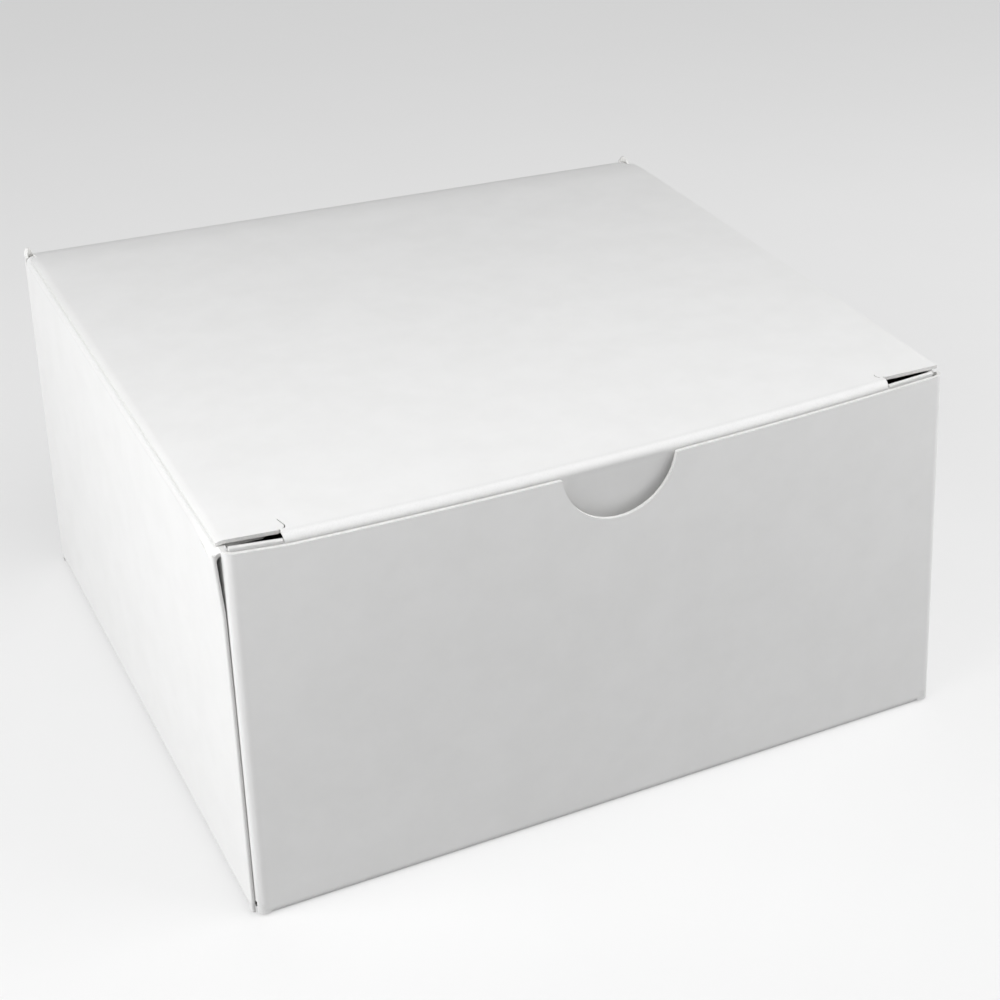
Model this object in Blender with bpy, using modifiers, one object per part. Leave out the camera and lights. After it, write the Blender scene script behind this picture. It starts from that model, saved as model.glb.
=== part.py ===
"""A white paperboard tuck-top carton for a candle, standing closed.

The carton is one creased sheet, modelled panel by panel and flap by flap.
Metres, +Z up, the origin at the middle of the base, the front facing -Y.
"""

import math

import bmesh
import bpy
from mathutils import Matrix, Vector

MM = 0.001

# Driving dimensions, all in millimetres.
WIDTH = 104.0              # outside, left to right
DEPTH = 100.0              # outside, front to back
HEIGHT = 54.0              # outside, base to the top of the lid
BOARD = 0.5                # thickness of the paperboard
GAP = 0.3                  # clearance between neighbouring pieces
FOLD_RADIUS = 1.0          # outer radius of a fold that never moves
CREASE_RADIUS = 0.5        # radius of the bead along a fold that moves
FOLD_STEPS = 5             # flats round a quarter fold
CREASE_SIDES = 24          # flats round a crease bead

LID_INSET = 0.4            # lid edge inside the carton's side
FRONT_DROP = 1.0           # top edge of the front panel below the lid's top
LID_TO_FRONT = 0.6         # room between the tuck fold and the front panel
SLIT_LENGTH = 9.2          # slits at both ends of the tuck fold
SLIT_SETBACK = 1.4         # lid corner edge behind the tuck fold's axis
SLIT_LIP = 0.4             # tuck edge standing above the axis beside a slit
TUCK_DEPTH = 16.0          # tuck flap, axis to free edge
TUCK_INSET = 2.0           # tuck flap edge inside the lid's edge
TUCK_CORNER = 8.0          # radius of the tuck flap's free corners
TUCK_RATIO = 0.35          # tuck fold's turn for each turn of the lid
ARC_STEPS = 12             # flats round an outline's corner

NOTCH_RADIUS = 8.3         # thumb notch, centred on the lid's top level
NOTCH_LIP = 0.8            # rounding where the notch meets the edge
NOTCH_STEPS = 28           # flats round the thumb notch

DUST_BETWEEN = 14.0        # opening left between the two dust flaps
DUST_BACK = 3.0            # hinge end of a dust flap from the lid's axis
DUST_FRONT = 1.5           # front end of a dust flap behind the tuck axis
DUST_SLANT = 30.0          # slope of a dust flap's back edge, in degrees
DUST_STEP = 3.0            # step behind the shoulder that the slit grips
DUST_CORNER = 6.0          # radius of the dust flap's free corners

GLUE_FLAP = 12.0           # width of the manufacturer's glue flap
GLUE_TAPER = 3.0           # taper at each end of the glue flap
GLUE_FILM = 0.1            # thickness of the dried adhesive
GLUE_MARGIN = 3.0          # adhesive kept in from the flap's edges
SEAM_SETBACK = 0.4         # raw edge of the left panel behind the front face

BASE_RELIEF = 0.5          # bottom flap ends inside the corner folds
TAB_REACH = 28.0           # glued tab on a main bottom flap
TONGUE_WIDTH = 16.0        # tongue that locks the two main bottom flaps
TONGUE_OFFSET = 2.0        # tongue's inner edge from the middle
TONGUE_REACH = 12.0        # tongue past the middle of the base
TONGUE_RAMP = 4.0          # length over which the tongue climbs
TONGUE_LEVEL = 2.0         # level length before the middle
TONGUE_CHAMFER = 3.0       # cut corners of the tongue
MINOR_CLEAR = 1.5          # room between a side bottom flap and a tongue
MINOR_TAPER = 9.0          # taper of a side bottom flap's free edge
MAIN_TAPER = 6.0           # taper of a main bottom flap's free side

# Sizes that follow from the ones above.
HALF_WIDTH = WIDTH / 2
HALF_DEPTH = DEPTH / 2
MID_RADIUS = FOLD_RADIUS - BOARD / 2
CREASE_STEP = CREASE_RADIUS + GAP
PLATE_OFFSET = CREASE_RADIUS - BOARD / 2
LAYER = BOARD + GAP

LID_AXIS_Y = HALF_DEPTH - CREASE_RADIUS
LID_AXIS_Z = HEIGHT - CREASE_RADIUS
LID_HALF = HALF_WIDTH - LID_INSET
LID_REACH = DEPTH - BOARD - 2 * CREASE_RADIUS - LID_TO_FRONT
TUCK_AXIS_Y = LID_AXIS_Y - LID_REACH
CREASE_HALF = LID_HALF - SLIT_LENGTH
DUST_AXIS_X = HALF_WIDTH - CREASE_RADIUS
DUST_AXIS_Z = HEIGHT - LAYER - CREASE_RADIUS

MAIN_LEVEL = BOARD / 2
MINOR_LEVEL = MAIN_LEVEL + LAYER
FRONT_BOTTOM = MAIN_LEVEL + MID_RADIUS + GAP
SIDE_BOTTOM = MINOR_LEVEL + MID_RADIUS + GAP
SIDE_TOP = DUST_AXIS_Z - CREASE_STEP
MAIN_HALF = HALF_WIDTH - FOLD_RADIUS - BASE_RELIEF
MINOR_HALF = HALF_DEPTH - FOLD_RADIUS - BASE_RELIEF
GLUE_FLAP_X = HALF_WIDTH - BOARD / 2 - LAYER
TONGUE_FAR = TONGUE_OFFSET + TONGUE_WIDTH

# The tuck flap leans inwards far enough, in radians, that its free edge clears
# the front panel as it swings up on the lid's radius.
SWING = TUCK_DEPTH / LID_REACH
TUCK_LEAN = SWING * (0.5 + TUCK_RATIO) - (LID_TO_FRONT - GAP) / TUCK_DEPTH


def paperboard() -> bpy.types.Material:
    """Uncoated white board, slightly warm."""
    return principled("white_paperboard", (0.80, 0.80, 0.79), 0.75)


def adhesive() -> bpy.types.Material:
    """Dried carton glue, a pale straw colour."""
    return principled("dried_adhesive", (0.78, 0.72, 0.55), 0.40)


def principled(name, colour, roughness) -> bpy.types.Material:
    """Make a plain material with one colour."""
    material = bpy.data.materials.new(name)
    material.use_nodes = True
    shader = material.node_tree.nodes["Principled BSDF"]
    shader.inputs["Base Color"].default_value = (*colour, 1.0)
    shader.inputs["Roughness"].default_value = roughness
    shader.inputs["Metallic"].default_value = 0.0
    return material


def arc(centre, radius, start, end, steps):
    """Points of an arc in the sheet's plane, angles in degrees."""
    points = []
    for step in range(steps + 1):
        angle = math.radians(start + (end - start) * step / steps)
        points.append((centre[0] + radius * math.cos(angle),
                       centre[1] + radius * math.sin(angle)))
    return points


def mirrored(half):
    """Close an outline whose right half runs from the middle round to the middle."""
    return half + [(-u, v) for u, v in reversed(half) if abs(u) > 1e-9]


def turn(u_axis, v_axis) -> Matrix:
    """Rotation that takes the sheet's two directions to world directions."""
    u = Vector(u_axis).normalized()
    v = Vector(v_axis).normalized()
    return Matrix((u, v, u.cross(v))).transposed()


class Fold:
    """A quarter fold along a straight edge of a sheet.

    side is 'u' or 'v', at is the edge's place along it, and towards is the
    sign of the side of the sheet that the board turns to.
    """

    def __init__(self, side, at, towards):
        self.index = "uv".index(side)
        self.at = at
        self.towards = towards

    def apply(self, mesh, middle):
        """Spin the edge through a quarter turn at the fold's mid radius."""
        edge = [e for e in mesh.edges
                if all(abs(v.co[self.index] - self.at * MM) < 1e-7 for v in e.verts)
                and all(abs(v.co.z) < 1e-7 for v in e.verts)]
        outward = 1.0 if self.at > middle else -1.0
        centre = [0.0, 0.0, self.towards * MID_RADIUS * MM]
        centre[self.index] = self.at * MM
        axis = (0.0, -1.0, 0.0) if self.index == 0 else (1.0, 0.0, 0.0)
        verts = {v for e in edge for v in e.verts}
        bmesh.ops.spin(mesh, geom=list(verts) + edge, cent=centre, axis=axis,
                       angle=outward * self.towards * math.pi / 2, steps=FOLD_STEPS)


def sheet(name, outline, rotation, location, material, folds=(), lift=0.0,
          thickness=BOARD, shape=None):
    """Make one piece of board from its flat outline.

    The outline is in millimetres in the sheet's own plane. lift moves the
    plane along its normal, and shape may bend the open sheet.
    """
    mesh = bmesh.new()
    corners = [mesh.verts.new((u * MM, v * MM, 0.0)) for u, v in outline]
    mesh.faces.new(corners)
    middles = [(min(p[i] for p in outline) + max(p[i] for p in outline)) / 2
               for i in (0, 1)]
    for fold in folds:
        fold.apply(mesh, middles[fold.index])
    if shape is not None:
        shape(mesh)
    bmesh.ops.remove_doubles(mesh, verts=mesh.verts, dist=1e-7)
    bmesh.ops.recalc_face_normals(mesh, faces=mesh.faces)
    bmesh.ops.translate(mesh, verts=mesh.verts, vec=(0.0, 0.0, lift * MM))
    data = bpy.data.meshes.new(name)
    mesh.to_mesh(data)
    mesh.free()
    piece = bpy.data.objects.new(name, data)
    wall = piece.modifiers.new("board", "SOLIDIFY")
    wall.thickness = thickness * MM
    wall.offset = 0.0
    wall.use_even_offset = True
    return place(piece, rotation, location, material)


def crease(name, length, axis, location, material):
    """Make the round bead that lies along a fold that moves."""
    mesh = bmesh.new()
    bmesh.ops.create_cone(mesh, cap_ends=True, segments=CREASE_SIDES,
                          radius1=CREASE_RADIUS * MM, radius2=CREASE_RADIUS * MM,
                          depth=length * MM)
    data = bpy.data.meshes.new(name)
    mesh.to_mesh(data)
    mesh.free()
    data.shade_smooth()
    data.set_sharp_from_angle(angle=math.radians(40))
    piece = bpy.data.objects.new(name, data)
    rotation = Vector((0, 0, 1)).rotation_difference(Vector(axis)).to_matrix()
    return place(piece, rotation, location, material)


def place(piece, rotation, location, material):
    """Give a piece its material, its place and its collection."""
    piece.data.materials.append(material)
    piece.rotation_euler = rotation.to_euler()
    piece.location = [value * MM for value in location]
    bpy.data.collections["candle_box"].objects.link(piece)
    return piece


FACING = turn((1, 0, 0), (0, 0, 1))       # upright, u right and v up
SIDEWAYS = turn((0, 1, 0), (0, 0, 1))     # upright, u back and v up
LEVEL = turn((1, 0, 0), (0, 1, 0))        # flat, u right and v back


def rectangle(u0, v0, u1, v1):
    """Four corners of a rectangle."""
    return [(u0, v0), (u1, v0), (u1, v1), (u0, v1)]


def front_outline():
    """Front panel with the half-round thumb notch in its top edge."""
    left = -GLUE_FLAP_X + MID_RADIUS + GAP
    right = HALF_WIDTH - FOLD_RADIUS - GAP
    top = HEIGHT - FRONT_DROP
    # The lip's centre lies one lip radius below the edge, outside the notch.
    drop = HEIGHT - (top - NOTCH_LIP)
    reach = math.sqrt((NOTCH_RADIUS + NOTCH_LIP) ** 2 - drop ** 2)
    meet = math.degrees(math.atan2(drop, reach))
    lip_right = arc((reach, top - NOTCH_LIP), NOTCH_LIP, 90, 180 - meet, 4)
    notch = arc((0, HEIGHT), NOTCH_RADIUS, -meet, meet - 180, NOTCH_STEPS)
    lip_left = [(-u, v) for u, v in reversed(lip_right)]
    edge = lip_right + notch[1:-1] + lip_left
    return [(left, FRONT_BOTTOM), (right, FRONT_BOTTOM), (right, top), *edge,
            (left, top)]


def walls(board, glue):
    """Four upright panels, the glue flap and the line of adhesive."""
    face = HALF_DEPTH - BOARD / 2
    side = HALF_WIDTH - BOARD / 2
    sheet("front_panel", front_outline(), FACING, (0, -face, 0), board)
    back_half = HALF_WIDTH - FOLD_RADIUS - GAP
    back_top = LID_AXIS_Z - CREASE_STEP
    sheet("back_panel", rectangle(-back_half, FRONT_BOTTOM, back_half, back_top),
          FACING, (0, face, 0), board)
    straight = HALF_DEPTH - FOLD_RADIUS
    sheet("right_panel", rectangle(-straight, SIDE_BOTTOM, straight, SIDE_TOP),
          SIDEWAYS, (side, 0, 0), board,
          folds=[Fold("u", -straight, -1), Fold("u", straight, -1)])
    raw_edge = SEAM_SETBACK - HALF_DEPTH
    sheet("left_panel", rectangle(raw_edge, SIDE_BOTTOM, straight, SIDE_TOP),
          SIDEWAYS, (-side, 0, 0), board, folds=[Fold("u", straight, 1)])
    flap_end = GLUE_FLAP - straight
    flap = [(-straight, SIDE_BOTTOM), (flap_end, SIDE_BOTTOM + GLUE_TAPER),
            (flap_end, SIDE_TOP - GLUE_TAPER), (-straight, SIDE_TOP)]
    sheet("glue_flap", flap, SIDEWAYS, (-GLUE_FLAP_X, 0, 0), board,
          folds=[Fold("u", -straight, 1)])
    film = rectangle(GLUE_MARGIN - straight, SIDE_BOTTOM + GLUE_TAPER + GLUE_MARGIN,
                     flap_end - GLUE_MARGIN, SIDE_TOP - GLUE_TAPER - GLUE_MARGIN)
    sheet("glue_line", film, SIDEWAYS, (-(side + GLUE_FLAP_X) / 2, 0, 0), glue,
          thickness=GLUE_FILM)


def lid_outline():
    """Lid panel, with its corners cut back behind the slits."""
    front = LID_REACH - CREASE_STEP
    corner = LID_REACH - SLIT_SETBACK
    half = [(0, front), (CREASE_HALF, front), (CREASE_HALF, corner),
            (LID_HALF, corner), (LID_HALF, CREASE_STEP), (0, CREASE_STEP)]
    return mirrored(half)


def tuck_outline():
    """Tuck flap: a lip stands beside each slit, and the free corners are round."""
    half_width = LID_HALF - TUCK_INSET
    inner = CREASE_HALF + GAP
    corner = arc((half_width - TUCK_CORNER, TUCK_DEPTH - TUCK_CORNER), TUCK_CORNER,
                 0, 90, ARC_STEPS)
    half = [(0, CREASE_STEP), (inner, CREASE_STEP), (inner, -SLIT_LIP),
            (half_width, -SLIT_LIP), *corner, (0, TUCK_DEPTH)]
    return mirrored(half)


def closure(board):
    """Lid panel and tuck flap, each with its origin on its own crease."""
    crease("lid_crease", 2 * LID_HALF, (1, 0, 0), (0, LID_AXIS_Y, LID_AXIS_Z), board)
    sheet("lid_panel", lid_outline(), turn((1, 0, 0), (0, -1, 0)),
          (0, LID_AXIS_Y, LID_AXIS_Z), board, lift=-PLATE_OFFSET)
    crease("tuck_crease", 2 * CREASE_HALF, (1, 0, 0),
           (0, TUCK_AXIS_Y, LID_AXIS_Z), board)
    down = (0, math.sin(TUCK_LEAN), -math.cos(TUCK_LEAN))
    sheet("tuck_flap", tuck_outline(), turn((1, 0, 0), down),
          (0, TUCK_AXIS_Y, LID_AXIS_Z), board, lift=-PLATE_OFFSET)


def dust_outline():
    """Dust flap: u runs forward from the lid's axis, v inwards from the crease."""
    reach = DUST_AXIS_X - DUST_BETWEEN / 2
    front = LID_REACH - DUST_FRONT
    back = DUST_BACK + reach * math.tan(math.radians(DUST_SLANT))
    inner = front - DUST_STEP
    shoulder = SLIT_LENGTH
    square = arc((inner - DUST_CORNER, reach - DUST_CORNER), DUST_CORNER, 0, 90,
                 ARC_STEPS)
    slant_start = DUST_BACK + CREASE_STEP * math.tan(math.radians(DUST_SLANT))
    round_off = (back + DUST_CORNER, reach)
    slope_end = (back - DUST_CORNER * math.sin(math.radians(DUST_SLANT)),
                 reach - DUST_CORNER * math.cos(math.radians(DUST_SLANT)))
    return [(slant_start, CREASE_STEP), (front, CREASE_STEP), (front, shoulder),
            (inner, shoulder + DUST_STEP), *square, round_off, slope_end]


def dust_flaps(board):
    """Two flaps that fold inwards under the lid, with their crease beads."""
    length = LID_REACH - DUST_FRONT - DUST_BACK
    middle_y = LID_AXIS_Y - DUST_BACK - length / 2
    for name, side in (("left", -1), ("right", 1)):
        crease(f"dust_crease_{name}", length, (0, 1, 0),
               (side * DUST_AXIS_X, middle_y, DUST_AXIS_Z), board)
        sheet(f"dust_flap_{name}", dust_outline(), turn((0, -1, 0), (-side, 0, 0)),
              (side * DUST_AXIS_X, LID_AXIS_Y, DUST_AXIS_Z), board,
              lift=-side * PLATE_OFFSET)


def main_flap_outline():
    """Main bottom flap, with the diagonal cut for its tab and its tongue."""
    start = FOLD_RADIUS - HALF_DEPTH
    end = -GAP / 2
    root = -TONGUE_LEVEL - TONGUE_RAMP
    tongue = [(TONGUE_FAR + GAP, end), (TONGUE_FAR + GAP, root), (TONGUE_FAR, root),
              (TONGUE_FAR, TONGUE_REACH - TONGUE_CHAMFER),
              (TONGUE_FAR - TONGUE_CHAMFER, TONGUE_REACH),
              (TONGUE_OFFSET + TONGUE_CHAMFER, TONGUE_REACH),
              (TONGUE_OFFSET, TONGUE_REACH - TONGUE_CHAMFER), (TONGUE_OFFSET, root),
              (TONGUE_OFFSET - GAP, root), (TONGUE_OFFSET - GAP, end)]
    return [(-MAIN_HALF, start), (MAIN_HALF, start), (MAIN_HALF - MAIN_TAPER, end),
            *tongue, (TAB_REACH - MAIN_HALF, end),
            (TAB_REACH - MAIN_HALF, start + TAB_REACH)]


def raise_tongue(mesh):
    """Crease the tongue twice, so that it climbs over the opposite flap."""
    for line in (-TONGUE_LEVEL - TONGUE_RAMP, -TONGUE_LEVEL):
        geometry = mesh.verts[:] + mesh.edges[:] + mesh.faces[:]
        bmesh.ops.bisect_plane(mesh, geom=geometry, dist=1e-7,
                               plane_co=(0, line * MM, 0), plane_no=(0, 1, 0))
    for vertex in mesh.verts:
        inside = TONGUE_OFFSET - GAP / 2 < vertex.co.x / MM < TONGUE_FAR + GAP / 2
        if inside and vertex.co.y / MM > -TONGUE_LEVEL - GAP / 2:
            vertex.co.z += LAYER * MM


def base(board, glue):
    """Pre-glued locking base: two main flaps, their tabs and two side flaps."""
    start = FOLD_RADIUS - HALF_DEPTH
    split = GAP * math.sqrt(2)
    tab = [(-MAIN_HALF, start + split),
           (TAB_REACH - MAIN_HALF - GAP, start + TAB_REACH + split - GAP),
           (-MAIN_HALF, start + TAB_REACH + split - GAP)]
    inset = GLUE_MARGIN
    spot = [(inset - MAIN_HALF, start + split + inset * (1 + math.sqrt(2))),
            (TAB_REACH - MAIN_HALF - inset * (1 + math.sqrt(2)),
             start + TAB_REACH - inset),
            (inset - MAIN_HALF, start + TAB_REACH - inset)]
    side_start = FOLD_RADIUS - HALF_WIDTH
    side_end = -TONGUE_FAR - MINOR_CLEAR
    minor = [(side_start, -MINOR_HALF), (side_end, MINOR_TAPER - MINOR_HALF),
             (side_end, MINOR_HALF - MINOR_TAPER), (side_start, MINOR_HALF)]
    half_turn = LEVEL @ Matrix.Rotation(math.pi, 3, "Z")
    film_level = MAIN_LEVEL + LAYER / 2
    for name, side_name, rotation in (("front", "left", LEVEL),
                                      ("back", "right", half_turn)):
        sheet(f"bottom_flap_{name}", main_flap_outline(), rotation,
              (0, 0, MAIN_LEVEL), board, folds=[Fold("v", start, 1)],
              shape=raise_tongue)
        sheet(f"bottom_tab_{name}", tab, rotation, (0, 0, MAIN_LEVEL), board)
        sheet(f"bottom_glue_{side_name}", spot, rotation, (0, 0, film_level), glue,
              thickness=GLUE_FILM)
        sheet(f"bottom_flap_{side_name}", minor, rotation, (0, 0, MINOR_LEVEL),
              board, folds=[Fold("u", side_start, 1)])


def main():
    """Clear the scene and build the carton."""
    for item in list(bpy.data.objects):
        bpy.data.objects.remove(item)
    parts = bpy.data.collections.new("candle_box")
    bpy.context.scene.collection.children.link(parts)
    board = paperboard()
    glue = adhesive()
    walls(board, glue)
    closure(board)
    dust_flaps(board)
    base(board, glue)


main()
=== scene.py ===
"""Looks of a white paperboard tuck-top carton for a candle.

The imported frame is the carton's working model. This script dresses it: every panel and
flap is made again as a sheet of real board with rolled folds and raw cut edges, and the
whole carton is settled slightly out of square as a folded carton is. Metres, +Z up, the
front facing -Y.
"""

import logging
import math
from collections.abc import Callable
from dataclasses import dataclass, field
from enum import Enum

import bmesh
import bpy
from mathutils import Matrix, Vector


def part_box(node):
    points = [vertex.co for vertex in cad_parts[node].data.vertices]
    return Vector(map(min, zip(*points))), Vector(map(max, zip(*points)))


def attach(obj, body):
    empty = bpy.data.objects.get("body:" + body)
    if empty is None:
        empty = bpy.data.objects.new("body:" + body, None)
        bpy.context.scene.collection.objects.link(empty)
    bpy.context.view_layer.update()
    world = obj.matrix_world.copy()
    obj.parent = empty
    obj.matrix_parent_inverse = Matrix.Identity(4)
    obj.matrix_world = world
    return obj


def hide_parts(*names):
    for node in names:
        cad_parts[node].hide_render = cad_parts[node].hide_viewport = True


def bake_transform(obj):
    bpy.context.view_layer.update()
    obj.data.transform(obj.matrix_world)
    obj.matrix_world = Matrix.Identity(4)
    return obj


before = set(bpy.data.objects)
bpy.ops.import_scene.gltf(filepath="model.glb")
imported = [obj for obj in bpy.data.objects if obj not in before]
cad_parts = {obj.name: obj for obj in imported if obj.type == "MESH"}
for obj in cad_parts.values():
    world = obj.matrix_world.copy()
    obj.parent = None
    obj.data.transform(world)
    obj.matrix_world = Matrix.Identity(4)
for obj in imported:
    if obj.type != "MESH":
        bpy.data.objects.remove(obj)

LOG = logging.getLogger("carton")
MM = 0.001
SNAP = 0.02 * MM

Test = Callable[[Vector], bool]
Colour = tuple[float, ...]
Socket = bpy.types.NodeSocket


class Element(Enum):
    """What a selection in edit mode is made of."""

    VERTEX = (True, False, False)
    EDGE = (False, True, False)
    FACE = (False, False, True)


class Facing(Enum):
    """Which way a new panel faces: its turn in degrees, and the axes of its two sides."""

    FRONT = ((90, 0, 0), (0, 2))
    LEFT = ((0, -90, 0), (2, 1))
    UP = ((0, 0, 0), (0, 1))
    DOWN = ((180, 0, 0), (0, 1))


class Axis(Enum):
    """World axes that folds and cuts run along or across."""

    X = (1.0, 0.0, 0.0)
    Y = (0.0, 1.0, 0.0)
    Z = (0.0, 0.0, 1.0)


def near(value: float, target: float) -> bool:
    """Whether two lengths are the same to a fiftieth of a millimetre."""
    return abs(value - target) < SNAP


def steps_between(low: float, high: float, pitch: float) -> list[float]:
    """Even stations strictly between two places, about one pitch apart.

    Args:
        low: Where the span starts.
        high: Where the span ends.
        pitch: The spacing that is wanted.

    Returns:
        The stations, without the span's two ends.
    """
    count = max(1, round((high - low) / pitch))
    return [low + (high - low) * step / count for step in range(1, count)]


# Finishes.


class NodeBench:
    """A new material with its shader, and short ways to add nodes to it."""

    def __init__(self, name: str, roughness: float, specular: float) -> None:
        """Start a material.

        Args:
            name: The material's name.
            roughness: Roughness all over, unless a pattern is linked to it later.
            specular: Specular level, the same all over.
        """
        self.material = bpy.data.materials.new(name)
        self.material.use_nodes = True
        self.tree = self.material.node_tree
        self.shader = self.tree.nodes["Principled BSDF"]
        self.shader.inputs["Roughness"].default_value = roughness
        self.shader.inputs["Specular IOR Level"].default_value = specular
        self.place = self.tree.nodes.new("ShaderNodeTexCoord").outputs["Object"]

    def noise(self, scale: float, detail: float, stretch: Vector | None = None
              ) -> Socket:
        """Add a noise pattern on object coordinates.

        Args:
            scale: Waves of the pattern in a metre.
            detail: Octaves of finer noise.
            stretch: Scale along each axis, or None for an even pattern.

        Returns:
            The pattern's value.
        """
        node = self.tree.nodes.new("ShaderNodeTexNoise")
        node.inputs["Scale"].default_value = scale
        node.inputs["Detail"].default_value = detail
        node.inputs["Roughness"].default_value = 0.62
        place = self.place
        if stretch is not None:
            mapping = self.tree.nodes.new("ShaderNodeMapping")
            mapping.inputs["Scale"].default_value = stretch
            self.tree.links.new(place, mapping.inputs["Vector"])
            place = mapping.outputs["Vector"]
        self.tree.links.new(place, node.inputs["Vector"])
        return node.outputs["Fac"]

    def specks(self, scale: float, size: float) -> Socket:
        """Add sparse round specks.

        Args:
            scale: Cells of the pattern in a metre.
            size: Radius of a speck as a share of its cell.

        Returns:
            1 inside a speck and 0 outside it.
        """
        node = self.tree.nodes.new("ShaderNodeTexVoronoi")
        node.inputs["Scale"].default_value = scale
        self.tree.links.new(self.place, node.inputs["Vector"])
        return self.remap(node.outputs["Distance"], (size, size * 0.6), (0.0, 1.0))

    def attribute(self, name: str) -> Socket:
        """Read one of the piece's own mesh attributes."""
        node = self.tree.nodes.new("ShaderNodeAttribute")
        node.attribute_name = name
        return node.outputs["Fac"]

    def remap(self, value: Socket, source: tuple[float, float],
              target: tuple[float, float]) -> Socket:
        """Map a value from one range to another, clamped.

        Args:
            value: The value to map.
            source: The range it comes from.
            target: The range it goes to.

        Returns:
            The mapped value.
        """
        node = self.tree.nodes.new("ShaderNodeMapRange")
        for name, limit in zip(("From Min", "From Max", "To Min", "To Max"),
                               (*source, *target)):
            node.inputs[name].default_value = limit
        self.tree.links.new(value, node.inputs["Value"])
        return node.outputs["Result"]

    def combine(self, operation: str, first: Socket,
                second: Socket | float) -> Socket:
        """Join two values with one sum of arithmetic.

        Args:
            operation: ADD, MULTIPLY or another of Blender's math operations.
            first: The first value.
            second: The second value, or a plain number.

        Returns:
            The result.
        """
        node = self.tree.nodes.new("ShaderNodeMath")
        node.operation = operation
        self.tree.links.new(first, node.inputs[0])
        if isinstance(second, float):
            node.inputs[1].default_value = second
        else:
            self.tree.links.new(second, node.inputs[1])
        return node.outputs["Value"]

    def blend_colours(self, share: Socket, low: Colour | Socket, high: Colour) -> Socket:
        """Blend two colours by a pattern.

        Args:
            share: 0 for the low colour and 1 for the high one.
            low: The first colour, or a pattern of colours.
            high: The second colour.

        Returns:
            The blended colour.
        """
        node = self.tree.nodes.new("ShaderNodeMix")
        node.data_type = "RGBA"
        first, second = (s for s in node.inputs if s.type == "RGBA")
        if isinstance(low, bpy.types.NodeSocket):
            self.tree.links.new(low, first)
        else:
            first.default_value = (*low, 1.0)
        second.default_value = (*high, 1.0)
        self.tree.links.new(share, node.inputs["Factor"])
        return next(s for s in node.outputs if s.type == "RGBA")

    def paint(self, colour: Socket) -> None:
        """Give the shader its colour pattern."""
        self.tree.links.new(colour, self.shader.inputs["Base Color"])

    def roughen(self, value: Socket) -> None:
        """Give the shader its roughness pattern."""
        self.tree.links.new(value, self.shader.inputs["Roughness"])

    def emboss(self, height: Socket, depth: float) -> None:
        """Give the shader a relief.

        Args:
            height: The relief's pattern, from 0 to 1.
            depth: Its depth in metres.
        """
        node = self.tree.nodes.new("ShaderNodeBump")
        node.inputs["Strength"].default_value = 1.0
        node.inputs["Distance"].default_value = depth
        self.tree.links.new(height, node.inputs["Height"])
        self.tree.links.new(node.outputs["Normal"], self.shader.inputs["Normal"])


@dataclass(frozen=True)
class CoatedFace:
    """Clay-coated white face: matte with a faint sheen, softly mottled by its fibres, and
    darker on its folds, partly rubbed and partly painted shade.
    """

    name: str = "coated_board"
    colour: Colour = (0.862, 0.862, 0.858)
    pale: Colour = (0.885, 0.885, 0.882)
    # Colour of the folds: rubbed board, and painted shade that dims their lit bands.
    worn_and_shaded: Colour = (0.77, 0.77, 0.767)
    roughness: tuple[float, float] = (0.50, 0.62)
    grain_depth: float = 0.008 * MM
    crack_depth: float = 0.006 * MM

    def material(self) -> bpy.types.Material:
        """Build the finish: mottled clay, fine grain, hairline cracks on the folds, and a
        darker colour there that is partly painted shade.
        """
        bench = NodeBench(self.name, self.roughness[0], 0.28)
        mottle = bench.remap(bench.noise(150.0, 4.0), (0.35, 0.65), (0.0, 1.0))
        grain = bench.noise(2600.0, 5.0)
        wear_and_shade = bench.attribute(FoldWearAndShade.NAME)
        cracks = bench.remap(bench.noise(5200.0, 3.0), (0.50, 0.62), (0.5, 0.8))
        worn_and_shaded = bench.combine("MULTIPLY", wear_and_shade, cracks)
        plain = bench.blend_colours(mottle, self.colour, self.pale)
        # Painted shade: the folds are darkened, partly as rubbed board and partly to dim the
        # light on them.
        bench.paint(bench.blend_colours(worn_and_shaded, plain, self.worn_and_shaded))
        rough = bench.remap(grain, (0.3, 0.7), self.roughness)
        bench.roughen(bench.combine("ADD", rough, bench.combine("MULTIPLY", wear_and_shade, 0.08)))
        share = bench.combine("MULTIPLY", worn_and_shaded, self.crack_depth / self.grain_depth)
        bench.emboss(bench.combine("ADD", grain, share), self.grain_depth)
        return bench.material


@dataclass(frozen=True)
class BareFace:
    """Uncoated inner face: greyer, rougher, with long fibres and a few bark specks."""

    name: str = "bare_board"
    colour: Colour = (0.74, 0.735, 0.715)
    pale: Colour = (0.80, 0.797, 0.78)
    roughness: tuple[float, float] = (0.78, 0.92)
    fibre_depth: float = 0.03 * MM

    def material(self) -> bpy.types.Material:
        """Build the finish from stretched fibres, mottling and specks."""
        bench = NodeBench(self.name, self.roughness[0], 0.25)
        fibres = bench.noise(900.0, 5.0, Vector((1.0, 0.35, 1.0)))
        mottle = bench.combine("ADD", bench.noise(210.0, 3.0), fibres)
        shade = bench.remap(mottle, (0.75, 1.2), (0.0, 1.0))
        specks = bench.combine("MULTIPLY", bench.specks(260.0, 0.09), -0.7)
        bench.paint(bench.blend_colours(bench.combine("ADD", shade, specks),
                                        self.colour, self.pale))
        bench.roughen(bench.remap(fibres, (0.3, 0.7), self.roughness))
        bench.emboss(fibres, self.fibre_depth)
        return bench.material


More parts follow.
